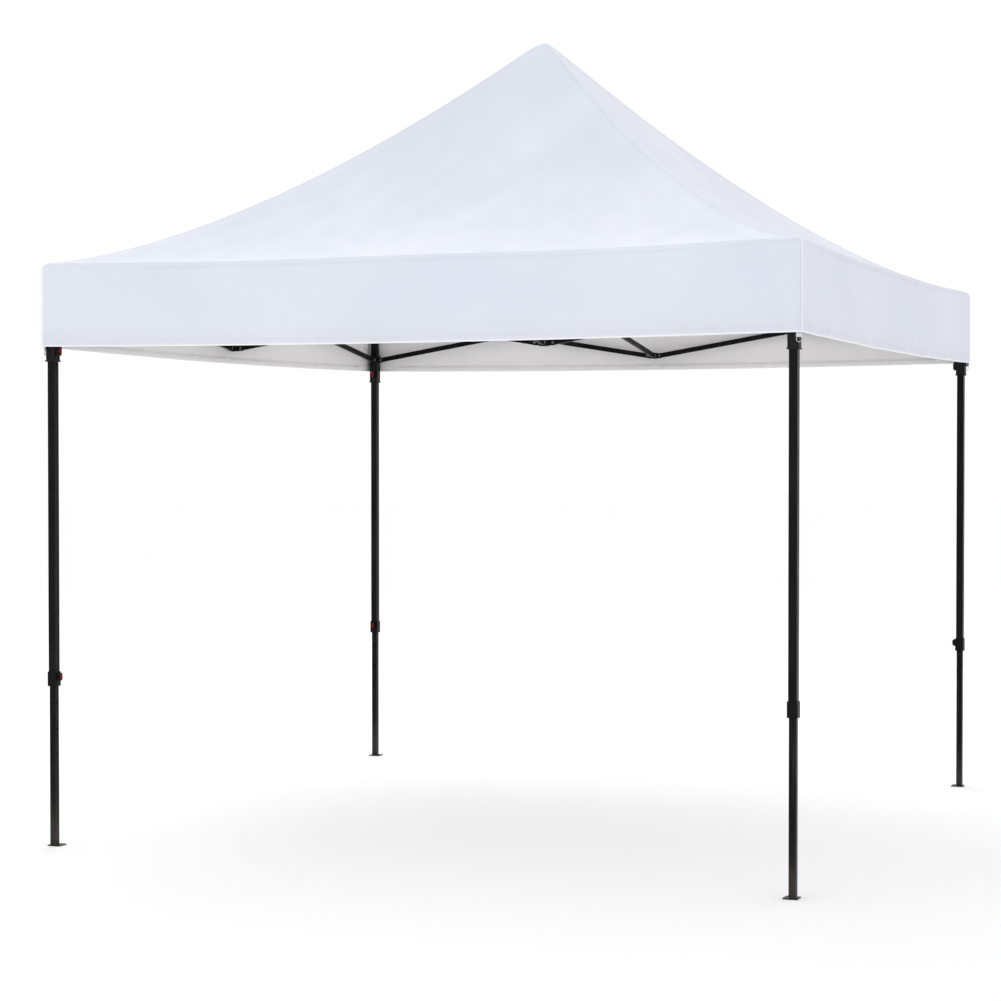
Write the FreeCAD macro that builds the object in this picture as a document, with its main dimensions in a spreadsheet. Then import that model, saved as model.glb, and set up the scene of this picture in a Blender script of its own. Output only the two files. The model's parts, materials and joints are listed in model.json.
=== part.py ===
import FreeCAD, Part
import Sketcher
import os

# Pop up canopy: a square cover on four telescopic legs, carried by a frame of scissor bars.
# Every side has two scissor pairs, and four more pairs run from the middle of each side to a
# pair of hubs at the centre. Millimetres. +Z is up, the origin is on the ground under the peak,
# and the front side faces -Y. The canopy is drawn standing open.

DIMENSIONS = (
    ("cover_width", 3000, "outside width of the cover across two opposite valances"),
    ("cover_wall", 1, "thickness of the coated cloth"),
    ("eave_height", 2245, "ground to the seam between roof and valance"),
    ("valance_depth", 320, "height of the valance"),
    ("peak_height", 3230, "ground to the top of the roof"),
    ("peak_half", 22, "half width of the flat top that sits over the pole"),
    ("hip_power", 1.45, "how strongly the hips sag: 1 is a straight hip"),
    ("leg_offset", 1465, "centre of the canopy to a leg's axis, along X and along Y"),
    ("top_pivot", 2208, "ground to the upper row of pivots"),
    ("truss_depth", 228, "upper row of pivots to the lower row, with the canopy open"),
    ("corner_reach", 38, "leg axis to the pivots of its top bracket and slider"),
    ("middle_reach", 28, "middle of a side to the pivots of its perimeter bars"),
    ("inner_reach", 28, "leg plane to the pivots of the inner bars"),
    ("hub_reach", 38, "centre of the canopy to the hub pivots"),
    ("bar_depth", 22, "bar height, in the plane it turns in"),
    ("bar_width", 12, "bar width, along its pivots"),
    ("bar_wall", 0.8, "wall of the bar tube"),
    ("bar_plane", 6.5, "leg plane to the middle plane of a bar"),
    ("bolt_radius", 3, "pivot bolt"),
    ("bolt_hole", 3.05, "hole for a pivot bolt"),
    ("head_radius", 5.5, "head of a pivot bolt"),
    ("head_height", 3.5, "height of a bolt head"),
    ("head_bevel", 2, "how much a bolt head narrows towards its top"),
    ("fork_gap", 12.8, "space between the two ears of a fork"),
    ("fork_ear", 3, "thickness of an ear"),
    ("fork_round", 12, "radius of the rounded end of an ear"),
    ("fork_root", 1, "block of a middle connector to the bottom of its forks"),
    ("rim_root", 0.5, "rim of a slider or top bracket to the bottom of its forks"),
    ("hub_root", 2, "round core of a hub to the bottom of its forks"),
    ("leg_tube", 30, "outside width of the outer leg tube"),
    ("leg_wall", 1, "wall of both leg tubes"),
    ("leg_bottom", 630, "ground to the lower end of the outer leg"),
    ("leg_above", 14, "how far the outer leg passes its top pivots"),
    ("inner_tube", 25, "outside width of the inner leg tube"),
    ("inner_top", 1010, "ground to the top of the inner leg"),
    ("sleeve_width", 40, "outside width of the slider and the top bracket"),
    ("sleeve_rim", 44, "outside width of the slider's two rims"),
    ("rim_height", 5, "height of a rim"),
    ("sleeve_gap", 0.4, "clearance between the slider and the leg, each side"),
    ("slider_above", 22, "slider's top above its pivots"),
    ("slider_below", 112, "slider's bottom below its pivots"),
    ("latch_drop", 70, "slider pivots down to the middle of its button"),
    ("bracket_below", 24, "top bracket's bottom below its pivots"),
    ("bracket_above", 20, "top bracket's top above its pivots"),
    ("collar_width", 38, "outside width of the leg lock collar"),
    ("collar_bottom", 618, "ground to the collar"),
    ("collar_height", 56, "height of the collar"),
    ("collar_gap", 0.4, "clearance between the collar's lip and the inner leg, each side"),
    ("lock_height", 654, "ground to the middle of the leg lock button"),
    ("lock_pitch", 100, "distance between two height settings"),
    ("pin_radius", 4, "tip of a push button"),
    ("pin_hole", 4.6, "hole for the tip of a push button"),
    ("button_gap", 0.4, "clearance around a push button"),
    ("button_travel", 4, "how far a push button goes in"),
    ("button_proud", 5, "how far a push button stands out of its housing"),
    ("stem_root", 1, "how far the stem of a push button goes into its pad"),
    ("latch_width", 16, "slider button, across"),
    ("latch_tall", 28, "slider button, up and down"),
    ("lock_width", 13, "leg lock button, across"),
    ("lock_tall", 20, "leg lock button, up and down"),
    ("housing_wall", 5, "wall of a button housing"),
    ("housing_out", 10, "how far a button housing stands out"),
    ("plate_width", 52, "foot plate"),
    ("plate_height", 4, "thickness of the foot plate"),
    ("plate_inward", 6, "how far the foot plate is set in towards the centre"),
    ("stake_offset", 22, "leg axis to the stake hole, along X and along Y"),
    ("stake_hole", 4.5, "radius of the stake hole"),
    ("core_half", 12, "half width of the block of a middle connector"),
    ("core_back", 16, "block of a middle connector, towards the valance"),
    ("core_front", 15, "block of a middle connector, towards the hubs"),
    ("core_tall", 28, "height of the block of a middle connector"),
    ("hub_radius", 22, "round core of a hub"),
    ("hub_tall", 30, "height of a hub's core"),
    ("guide_radius", 17, "guide sleeve under the upper hub"),
    ("guide_drop", 185, "upper pivots down to the end of the guide sleeve"),
    ("pole_radius", 12.5, "peak pole"),
    ("pole_wall", 1, "wall of the peak pole"),
    ("pole_gap", 0.5, "clearance between the pole and the guide sleeve"),
    ("pole_seat", 12, "lower pivots down to the foot of the pole"),
    ("pole_below", 7, "top of the roof down to the top of the pole's cap"),
    ("cap_height", 12, "domed cap on the pole"),
)

# Shares of the way from the peak to a corner at which the roof's square sections are drawn.
ROOF_STATIONS = (0.08, 0.18, 0.3, 0.44, 0.6, 0.78, 1)

SIDES = ("front", "right", "back", "left")
CORNERS = ("front_right", "back_right", "back_left", "front_left")
QUARTER_TURN = 90
LOCK_SETTINGS = 4

RUN = "(Dim.leg_offset - Dim.corner_reach - Dim.middle_reach)"
BAR_LENGTH = f"sqrt({RUN}^2 + Dim.truss_depth^2)"
BAR_TILT = f"atan(Dim.truss_depth / {RUN})"
LOW_PIVOT = "(Dim.top_pivot - Dim.truss_depth)"
FORK_WIDTH = "(Dim.fork_gap + 2 * Dim.fork_ear)"

doc = FreeCAD.newDocument("pop_up_canopy")
sub_parts = []


# ---- the sheet of driving dimensions ------------------------------------------------------

def make_sheet():
    sheet = doc.addObject("Spreadsheet::Sheet", "Dim")
    for row, (alias, value, meaning) in enumerate(DIMENSIONS, 1):
        sheet.set(f"A{row}", alias)
        sheet.set(f"B{row}", str(value))
        sheet.set(f"C{row}", meaning)
        sheet.setAlias(f"B{row}", alias)
    doc.recompute()


def bind(thing, path, expression):
    thing.setExpression(path, str(expression))


def bind_place(thing, place):
    for axis, expression in zip("xyz", place):
        bind(thing, f"Placement.Base.{axis}", expression)


# ---- primitives and booleans --------------------------------------------------------------

def box(name, low, size):
    solid = doc.addObject("Part::Box", name)
    bind_place(solid, low)
    for path, expression in zip(("Length", "Width", "Height"), size):
        bind(solid, path, expression)
    return solid


def upright(name, width, bottom, height):
    """A square post around the Z axis."""
    half = f"-({width}) / 2"
    return box(name, (half, half, bottom), (width, width, height))


def disc(name, radius, start, height, along="Z"):
    """A cylinder from start, along Z or along Y."""
    solid = doc.addObject("Part::Cylinder", name)
    bind_place(solid, start)
    bind(solid, "Radius", radius)
    bind(solid, "Height", height)
    if along == "Y":
        solid.Placement.Rotation = FreeCAD.Rotation(FreeCAD.Vector(1, 0, 0), -90)
    return solid


def head(name, start, outward):
    """A bevelled bolt head from start, towards +Y or -Y."""
    solid = doc.addObject("Part::Cone", name)
    bind_place(solid, start)
    bind(solid, "Radius1", "Dim.head_radius")
    bind(solid, "Radius2", "Dim.head_radius - Dim.head_bevel")
    bind(solid, "Height", "Dim.head_height")
    solid.Placement.Rotation = FreeCAD.Rotation(FreeCAD.Vector(1, 0, 0), -90 * outward)
    return solid


def fuse(name, solids):
    joined = doc.addObject("Part::MultiFuse", name)
    joined.Shapes = solids
    joined.Refine = True
    return joined


def cut(name, base, tools):
    result = doc.addObject("Part::Cut", name)
    result.Base = base
    result.Tool = fuse(f"{name}_tools", tools) if len(tools) > 1 else tools[0]
    result.Refine = True
    return result


def round_edges(name, solid, radius_alias, wanted):
    """Rounds the straight edges of solid for which wanted(first point, last point) is true."""
    doc.recompute()
    radius = getattr(doc.Dim, radius_alias)
    chosen = []
    for number, edge in enumerate(solid.Shape.Edges, 1):
        ends = [vertex.Point for vertex in edge.Vertexes]
        if len(ends) == 2 and wanted(ends[0], ends[1]):
            chosen.append((number, radius, radius))
    rounded = doc.addObject("Part::Fillet", name)
    rounded.Base = solid
    rounded.Edges = chosen
    return rounded


def is_upright(first, last):
    return abs(first.x - last.x) + abs(first.y - last.y) < 0.01


def finish(label, pieces, turn, place=(0, 0, 0)):
    """Gathers the pieces of one sub-part, turns them by turn degrees about Z and puts them at place."""
    sub_part = doc.addObject("Part::Compound", label)
    sub_part.Label = label
    sub_part.Links = pieces
    sub_part.Placement.Rotation = FreeCAD.Rotation(FreeCAD.Vector(0, 0, 1), turn)
    bind_place(sub_part, place)
    sub_parts.append(sub_part)


def finish_body(body, label, turn=0, place=(0, 0, 0)):
    body.Label = label
    body.Placement.Rotation = FreeCAD.Rotation(FreeCAD.Vector(0, 0, 1), turn)
    bind_place(body, place)
    sub_parts.append(body)


# ---- sketches and features ----------------------------------------------------------------

def sketch(body, name, role="XY_Plane", offset=(0, 0, 0)):
    plane = [feature for feature in body.Origin.OriginFeatures if feature.Role == role][0]
    drawing = body.newObject("Sketcher::SketchObject", name)
    drawing.AttachmentSupport = (plane, [""])
    drawing.MapMode = "FlatFace"
    for axis, expression in zip("xyz", offset):
        bind(drawing, f"AttachmentOffset.Base.{axis}", expression)
    return drawing


def draw_rectangle(drawing, width, depth):
    """A rectangle around the sketch's origin."""
    corners = [FreeCAD.Vector(x, y, 0) for x, y in ((-1, -1), (1, -1), (1, 1), (-1, 1))]
    for number in range(4):
        drawing.addGeometry(Part.LineSegment(corners[number], corners[(number + 1) % 4]))
    for number in range(4):
        drawing.addConstraint(Sketcher.Constraint("Coincident", number, 2, (number + 1) % 4, 1))
    for number in (0, 2):
        drawing.addConstraint(Sketcher.Constraint("Horizontal", number))
    for number in (1, 3):
        drawing.addConstraint(Sketcher.Constraint("Vertical", number))
    drawing.addConstraint(Sketcher.Constraint("Symmetric", 0, 1, 2, 1, -1, 1))
    for name, kind, line, expression in (("across", "DistanceX", 0, width), ("along", "DistanceY", 1, depth)):
        index = drawing.addConstraint(Sketcher.Constraint(kind, line, 1, line, 2, 2.0))
        drawing.renameConstraint(index, name)
        bind(drawing, f"Constraints.{name}", expression)


def draw_circle(drawing, radius):
    drawing.addGeometry(Part.Circle(FreeCAD.Vector(0, 0, 0), FreeCAD.Vector(0, 0, 1), 1))
    drawing.addConstraint(Sketcher.Constraint("Coincident", 0, 3, -1, 1))
    index = drawing.addConstraint(Sketcher.Constraint("Radius", 0, 1.0))
    drawing.renameConstraint(index, "radius")
    bind(drawing, "Constraints.radius", radius)


def extrude(body, kind, name, drawing, length, downwards=False):
    feature = body.newObject(f"PartDesign::{kind}", name)
    feature.Profile = drawing
    bind(feature, "Length", length)
    feature.Reversed = downwards if kind == "Pad" else not downwards
    return feature


# ---- fasteners and forks ------------------------------------------------------------------

def bolt(name, x, y_low, y_high, height):
    """A pivot bolt along Y between y_low and y_high, with a head at each end."""
    start = (x, y_low, height)
    shank = disc(f"{name}_shank", "Dim.bolt_radius", start, f"({y_high}) - ({y_low})", "Y")
    low_head = head(f"{name}_low", start, -1)
    high_head = head(f"{name}_high", (x, y_high, height), 1)
    return fuse(name, [shank, low_head, high_head])


def fork(name, root, reach, plane, height, turn):
    """Two ears that reach out from the Z axis along X, then turned, and the bolt across them.

    root is where the space between the ears begins, and plane is the middle of that space.
    """
    low = f"({plane}) - {FORK_WIDTH} / 2"
    bottom = f"({height}) - Dim.fork_round"
    arm = box(f"{name}_arm", (0, low, bottom), (reach, FORK_WIDTH, "2 * Dim.fork_round"))
    tip = disc(f"{name}_tip", "Dim.fork_round", (reach, low, height), FORK_WIDTH, "Y")
    space = box(
        f"{name}_space",
        (root, f"({plane}) - Dim.fork_gap / 2", bottom),
        ("Dim.fork_round + Dim.bar_depth + Dim.corner_reach", "Dim.fork_gap", "2 * Dim.fork_round"),
    )
    hole = disc(f"{name}_hole", "Dim.bolt_hole", (reach, low, height), FORK_WIDTH, "Y")
    ears = cut(f"{name}_ears", fuse(f"{name}_outline", [arm, tip]), [space, hole])
    pin = bolt(f"{name}_bolt", reach, low, f"({plane}) + {FORK_WIDTH} / 2", height)
    for solid in (ears, pin):
        solid.Placement.Rotation = FreeCAD.Rotation(FreeCAD.Vector(0, 0, 1), turn)
    return ears, pin


# ---- sub-parts ----------------------------------------------------------------------------

def bar(label, start, tilt, turn, rivet_side=0):
    """A scissor bar that starts at the pivot start and runs along X, tilted, then turned about Z.

    Where rivet_side is +1 or -1, the bar also holds the rivet of its crossing, and the other
    bar of the pair lies on that side of it.
    """
    half_depth = "Dim.bar_depth / 2"
    low = "-Dim.bar_width / 2"
    body = box(f"{label}_length", (0, low, f"-{half_depth}"), (BAR_LENGTH, "Dim.bar_width", "Dim.bar_depth"))
    outline = [body]
    for name, x in (("near", 0), ("far", BAR_LENGTH)):
        outline.append(disc(f"{label}_{name}_end", half_depth, (x, low, 0), "Dim.bar_width", "Y"))
    bore = box(
        f"{label}_bore",
        ("-Dim.bar_depth", f"{low} + Dim.bar_wall", f"-{half_depth} + Dim.bar_wall"),
        (
            f"{BAR_LENGTH} + 2 * Dim.bar_depth",
            "Dim.bar_width - 2 * Dim.bar_wall",
            "Dim.bar_depth - 2 * Dim.bar_wall",
        ),
    )
    tools = [bore]
    for name, x in (("near", 0), ("middle", f"{BAR_LENGTH} / 2"), ("far", BAR_LENGTH)):
        tools.append(disc(f"{label}_{name}_hole", "Dim.bolt_hole", (x, low, 0), "Dim.bar_width", "Y"))
    pieces = [cut(f"{label}_tube", fuse(f"{label}_outline", outline), tools)]
    if rivet_side:
        centre = f"{rivet_side} * Dim.bar_plane"
        grip = "(Dim.bar_plane + Dim.bar_width / 2)"
        rivet = bolt(f"{label}_rivet", f"{BAR_LENGTH} / 2", f"{centre} - {grip}", f"{centre} + {grip}", 0)
        pieces.append(rivet)
    for piece in pieces:
        bind_place(piece, start)
        piece.Placement.Rotation = FreeCAD.Rotation(FreeCAD.Vector(0, 1, 0), 0)
        bind(piece, "Placement.Rotation.Angle", tilt)
    finish(label, pieces, turn)


def inner_bars(side, turn):
    """The scissor pair from the hubs to the middle of one side."""
    away = turn - QUARTER_TURN
    start_high = ("Dim.hub_reach", "-Dim.bar_plane", "Dim.top_pivot")
    start_low = ("Dim.hub_reach", "Dim.bar_plane", LOW_PIVOT)
    bar(f"{side}_inner_bar_high_hub", start_high, BAR_TILT, away, 1)
    bar(f"{side}_inner_bar_low_hub", start_low, f"-{BAR_TILT}", away)


def perimeter_bars(side, turn):
    """The two scissor pairs of one side, from its middle connectors to the two legs."""
    outer_plane = "-Dim.leg_offset - Dim.bar_plane"
    inner_plane = "-Dim.leg_offset + Dim.bar_plane"
    right = "Dim.middle_reach"
    left = "-Dim.leg_offset + Dim.corner_reach"
    bar(f"{side}_bar_right_up", (right, outer_plane, LOW_PIVOT), f"-{BAR_TILT}", turn, 1)
    bar(f"{side}_bar_right_down", (right, inner_plane, "Dim.top_pivot"), BAR_TILT, turn)
    bar(f"{side}_bar_left_up", (left, outer_plane, "Dim.top_pivot"), BAR_TILT, turn, 1)
    bar(f"{side}_bar_left_down", (left, inner_plane, LOW_PIVOT), f"-{BAR_TILT}", turn)


def middle_connector(label, plane, height, turn, place):
    """The block in the middle of a side, with one fork inwards and one towards each leg."""
    core = box(
        f"{label}_block",
        ("-Dim.core_half", "-Dim.core_back", f"({height}) - Dim.core_tall / 2"),
        ("2 * Dim.core_half", "Dim.core_back + Dim.core_front", "Dim.core_tall"),
    )
    shapes = [round_edges(f"{label}_core", core, "fork_ear", is_upright)]
    bolts = []
    gap_root = "Dim.core_half + Dim.fork_root"
    forks = (
        ("right", gap_root, "Dim.middle_reach", plane, 0),
        ("left", gap_root, "Dim.middle_reach", f"-({plane})", 2 * QUARTER_TURN),
        ("inner", "Dim.core_front + Dim.fork_root", "Dim.inner_reach", f"-({plane})", QUARTER_TURN),
    )
    for name, root, reach, fork_plane, fork_turn in forks:
        ears, pin = fork(f"{label}_{name}", root, reach, fork_plane, height, fork_turn)
        shapes.append(ears)
        bolts.append(pin)
    finish(label, [fuse(f"{label}_moulding", shapes)] + bolts, turn, place)


def corner_forks(label, plane, height):
    """The two forks of a leg connector: one along each of the two sides that meet at the leg."""
    root = "Dim.sleeve_rim / 2 + Dim.rim_root"
    along_x = fork(f"{label}_x", root, "Dim.corner_reach", f"-({plane})", height, 2 * QUARTER_TURN)
    along_y = fork(f"{label}_y", root, "Dim.corner_reach", plane, height, QUARTER_TURN)
    ears = [along_x[0], along_y[0]]
    bolts = [along_x[1], along_y[1]]
    return ears, bolts


def housing(name, width, tall, sleeve, middle):
    """The raised housing round a push button, on the +Y face of a sleeve, and its opening."""
    outside = f"({width} + 2 * Dim.housing_wall)"
    rise = f"({tall} + 2 * Dim.housing_wall)"
    frame = box(
        f"{name}_frame",
        (f"-{outside} / 2", 0, f"{middle} - {rise} / 2"),
        (outside, f"{sleeve} / 2 + Dim.housing_out", rise),
    )
    opening = f"({width} + 2 * Dim.button_gap)"
    open_rise = f"({tall} + 2 * Dim.button_gap)"
    window = box(
        f"{name}_window",
        (f"-{opening} / 2", 0, f"{middle} - {open_rise} / 2"),
        (opening, sleeve, open_rise),
    )
    return frame, window


def slider(label, turn, place):
    """The sleeve that runs on the leg and carries the lower pivots of both sides."""
    bottom = f"{LOW_PIVOT} - Dim.slider_below"
    tall = "Dim.slider_above + Dim.slider_below"
    post = upright(f"{label}_post", "Dim.sleeve_width", bottom, tall)
    rim_low = upright(f"{label}_rim_low", "Dim.sleeve_rim", bottom, "Dim.rim_height")
    rim_high_bottom = f"{LOW_PIVOT} + Dim.slider_above - Dim.rim_height"
    rim_high = upright(f"{label}_rim_high", "Dim.sleeve_rim", rim_high_bottom, "Dim.rim_height")
    ears, bolts = corner_forks(label, "Dim.bar_plane", LOW_PIVOT)
    middle = f"({LOW_PIVOT} - Dim.latch_drop)"
    frame, window = housing(f"{label}_latch", "Dim.latch_width", "Dim.latch_tall", "Dim.sleeve_width", middle)
    outline = [round_edges(f"{label}_sleeve", post, "fork_ear", is_upright), rim_low, rim_high, frame]
    bore = upright(f"{label}_bore", "Dim.leg_tube + 2 * Dim.sleeve_gap", bottom, tall)
    moulding = cut(f"{label}_moulding", fuse(f"{label}_outline", outline + ears), [bore, window])
    finish(label, [moulding] + bolts, turn, place)


def top_bracket(label, turn, place):
    """The cap on top of the outer leg, with the upper pivots of both sides."""
    bottom = "Dim.top_pivot - Dim.bracket_below"
    post = upright(f"{label}_post", "Dim.sleeve_width", bottom, "Dim.bracket_below + Dim.bracket_above")
    ears, bolts = corner_forks(label, "-Dim.bar_plane", "Dim.top_pivot")
    outline = [round_edges(f"{label}_cap", post, "fork_ear", is_upright)] + ears
    bore = upright(f"{label}_bore", "Dim.leg_tube", bottom, "Dim.bracket_below + Dim.leg_above")
    moulding = cut(f"{label}_moulding", fuse(f"{label}_outline", outline), [bore])
    finish(label, [moulding] + bolts, turn, place)


def hub(label, plane, height, turned_shapes, bore_bottom):
    """A centre hub with four forks. turned_shapes join its core, and the bore goes up from bore_bottom."""
    core = disc(f"{label}_core", "Dim.hub_radius", (0, 0, f"{height} - Dim.hub_tall / 2"), "Dim.hub_tall")
    shapes = [core] + turned_shapes
    bolts = []
    for number, side in enumerate(SIDES):
        turn = (number - 1) * QUARTER_TURN
        ears, pin = fork(f"{label}_{side}", "Dim.hub_radius + Dim.hub_root", "Dim.hub_reach", plane, height, turn)
        shapes.append(ears)
        bolts.append(pin)
    outline = fuse(f"{label}_outline", shapes)
    radius = "Dim.pole_radius + Dim.pole_gap" if turned_shapes else "Dim.pole_radius"
    bore = disc(f"{label}_bore", radius, (0, 0, bore_bottom), f"{height} + Dim.hub_tall - ({bore_bottom})")
    finish(label, [cut(f"{label}_moulding", outline, [bore])] + bolts, 0)


def hubs():
    guide_bottom = "Dim.top_pivot - Dim.guide_drop"
    guide = disc("guide_sleeve", "Dim.guide_radius", (0, 0, guide_bottom), "Dim.guide_drop")
    hub("upper_hub", "-Dim.bar_plane", "Dim.top_pivot", [guide], guide_bottom)
    hub("lower_hub", "Dim.bar_plane", LOW_PIVOT, [], f"{LOW_PIVOT} - Dim.pole_seat")


def peak_pole():
    """The tube that stands in the lower hub and holds the peak up, with its domed cap."""
    top = "(Dim.peak_height - Dim.pole_below - Dim.cap_height)"
    foot = f"({LOW_PIVOT} - Dim.pole_seat)"
    tube = disc("pole_outside", "Dim.pole_radius", (0, 0, foot), f"{top} - {foot}")
    inside = disc("pole_inside", "Dim.pole_radius - Dim.pole_wall", (0, 0, foot), f"{top} - {foot}")
    dome = doc.addObject("Part::Ellipsoid", "pole_dome")
    bind(dome, "Radius1", "Dim.cap_height")
    bind(dome, "Radius2", "Dim.pole_radius")
    bind(dome, "Radius3", "Dim.pole_radius")
    dome.Angle1 = 0
    bind_place(dome, (0, 0, top))
    finish("peak_pole", [cut("pole_tube", tube, [inside]), dome], 0)


def outer_leg(label, turn, place):
    """The upper tube of a leg, and the collar at its lower end that holds the leg lock."""
    long = "Dim.top_pivot + Dim.leg_above - Dim.leg_bottom"
    tube = upright(f"{label}_outside", "Dim.leg_tube", "Dim.leg_bottom", long)
    inside = upright(f"{label}_inside", "Dim.leg_tube - 2 * Dim.leg_wall", "Dim.leg_bottom", long)
    holes = []
    for name, height in (("latch", f"{LOW_PIVOT} - Dim.latch_drop"), ("lock", "Dim.lock_height")):
        holes.append(disc(f"{label}_{name}_hole", "Dim.pin_hole", (0, 0, height), "Dim.leg_tube", "Y"))
    collar = upright(f"{label}_collar_post", "Dim.collar_width", "Dim.collar_bottom", "Dim.collar_height")
    frame, window = housing(
        f"{label}_lock", "Dim.lock_width", "Dim.lock_tall", "Dim.collar_width", "Dim.lock_height"
    )
    outline = [round_edges(f"{label}_collar_round", collar, "fork_ear", is_upright), frame]
    seat = upright(f"{label}_seat", "Dim.leg_tube", "Dim.leg_bottom", "Dim.collar_height")
    lip_width = "Dim.inner_tube + 2 * Dim.collar_gap"
    lip = upright(f"{label}_lip", lip_width, "Dim.collar_bottom", "Dim.collar_height")
    pieces = [
        cut(f"{label}_tube", tube, [inside] + holes),
        cut(f"{label}_collar", fuse(f"{label}_collar_outline", outline), [seat, lip, window]),
    ]
    finish(label, pieces, turn, place)


def inner_leg(label, turn, place):
    """The lower tube of a leg, with its row of lock holes, on a welded foot plate."""
    body = doc.addObject("PartDesign::Body", f"{label}_body")
    outside = sketch(body, f"{label}_outside")
    draw_rectangle(outside, "Dim.inner_tube", "Dim.inner_tube")
    extrude(body, "Pad", f"{label}_tube", outside, "Dim.inner_top")
    plate = sketch(body, f"{label}_plate_outline", offset=("-Dim.plate_inward", "Dim.plate_inward", 0))
    draw_rectangle(plate, "Dim.plate_width", "Dim.plate_width")
    extrude(body, "Pad", f"{label}_plate", plate, "Dim.plate_height")
    inside = sketch(body, f"{label}_inside", offset=(0, 0, "Dim.plate_height"))
    draw_rectangle(inside, "Dim.inner_tube - 2 * Dim.leg_wall", "Dim.inner_tube - 2 * Dim.leg_wall")
    extrude(body, "Pocket", f"{label}_bore", inside, "Dim.inner_top")
    stake = sketch(body, f"{label}_stake", offset=("-Dim.stake_offset", "Dim.stake_offset", 0))
    draw_circle(stake, "Dim.stake_hole")
    extrude(body, "Pocket", f"{label}_stake_hole", stake, "Dim.plate_height")
    lock = sketch(body, f"{label}_lock", "XZ_Plane", (0, "Dim.lock_height", 0))
    draw_circle(lock, "Dim.pin_hole")
    first_hole = extrude(body, "Pocket", f"{label}_lock_hole", lock, "Dim.inner_tube", downwards=True)
    row = body.newObject("PartDesign::LinearPattern", f"{label}_lock_row")
    row.Originals = [first_hole]
    row.Direction = (lock, ["V_Axis"])
    row.Reversed = True
    row.Occurrences = LOCK_SETTINGS
    bind(row, "Length", f"{LOCK_SETTINGS - 1} * Dim.lock_pitch")
    body.Tip = row
    finish_body(body, label, turn, place)


def push_button(label, width, tall, sleeve, middle, tip, turn, place):
    """A push button in a housing on the +Y face. tip is where its inner end lies at rest."""
    outer_end = f"({sleeve} / 2 + Dim.housing_out + Dim.button_proud)"
    inner_end = f"({sleeve} / 2)"
    pad = box(
        f"{label}_pad",
        (f"-{width} / 2", inner_end, f"{middle} - {tall} / 2"),
        (width, f"{outer_end} - {inner_end}", tall),
    )
    along_y = round_edges(f"{label}_cap", pad, "fork_ear", lambda first, last: abs(first.y - last.y) > 1)
    stem = disc(f"{label}_stem", "Dim.pin_radius", (0, tip, middle), f"{inner_end} + Dim.stem_root - ({tip})", "Y")
    finish(label, [fuse(f"{label}_plunger", [along_y, stem])], turn, place)


def cover():
    """The roof, a stack of square sections with sagging hips, and the valance: one hollow cloth shell."""
    body = doc.addObject("PartDesign::Body", "cover_body")
    top_share = "(2 * Dim.peak_half / Dim.cover_width)"
    rise = "(Dim.peak_height - Dim.eave_height)"

    def roof(name, kind, inset):
        drawings = []
        for number, share in enumerate((top_share,) + ROOF_STATIONS):
            height = f"Dim.eave_height + {rise} * ((1 - {share}) / (1 - {top_share}))^Dim.hip_power - {inset}"
            drawing = sketch(body, f"{name}_section_{number}", offset=(0, 0, height))
            width = f"Dim.cover_width * {share} - 2 * {inset}"
            draw_rectangle(drawing, width, width)
            drawings.append(drawing)
        doc.recompute()
        loft = body.newObject(f"PartDesign::{kind}", name)
        loft.Profile = drawings[0]
        loft.Sections = drawings[1:]
        loft.Ruled = True
        doc.recompute()

    roof("roof_outside", "AdditiveLoft", "0")
    skirt = sketch(body, "valance_outline", offset=(0, 0, "Dim.eave_height"))
    draw_rectangle(skirt, "Dim.cover_width", "Dim.cover_width")
    extrude(body, "Pad", "valance", skirt, "Dim.valance_depth", downwards=True)
    roof("roof_inside", "SubtractiveLoft", "Dim.cover_wall")
    hollow = sketch(body, "valance_hollow", offset=(0, 0, "Dim.eave_height - Dim.valance_depth"))
    draw_rectangle(hollow, "Dim.cover_width - 2 * Dim.cover_wall", "Dim.cover_width - 2 * Dim.cover_wall")
    extrude(body, "Pocket", "valance_inside", hollow, "Dim.valance_depth - Dim.cover_wall")
    finish_body(body, "canopy_cover")


# ---- the whole canopy ---------------------------------------------------------------------

def make_side(number, side):
    turn = number * QUARTER_TURN
    middle = (("0", "-1"), ("1", "0"), ("0", "1"), ("-1", "0"))[number]
    place = [f"{sign} * Dim.leg_offset" for sign in middle] + [0]
    inner_bars(side, turn)
    perimeter_bars(side, turn)
    middle_connector(f"{side}_middle_high", "Dim.bar_plane", "Dim.top_pivot", turn, place)
    middle_connector(f"{side}_middle_low", "-Dim.bar_plane", LOW_PIVOT, turn, place)


def make_corner(number, corner):
    turn = number * QUARTER_TURN
    signs = ((1, -1), (1, 1), (-1, 1), (-1, -1))[number]
    place = [f"{sign} * Dim.leg_offset" for sign in signs] + [0]
    top_bracket(f"{corner}_top_bracket", turn, place)
    slider(f"{corner}_slider", turn, place)
    outer_leg(f"{corner}_outer_leg", turn, place)
    inner_leg(f"{corner}_inner_leg", turn, place)
    latch_middle = f"({LOW_PIVOT} - Dim.latch_drop)"
    latch_tip = "Dim.leg_tube / 2 + Dim.button_travel + Dim.button_gap"
    push_button(
        f"{corner}_slider_button",
        "Dim.latch_width", "Dim.latch_tall", "Dim.sleeve_width", latch_middle, latch_tip, turn, place,
    )
    lock_tip = "Dim.inner_tube / 2 + Dim.button_travel + Dim.button_gap"
    push_button(
        f"{corner}_leg_lock_button",
        "Dim.lock_width", "Dim.lock_tall", "Dim.collar_width", "Dim.lock_height", lock_tip, turn, place,
    )


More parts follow.
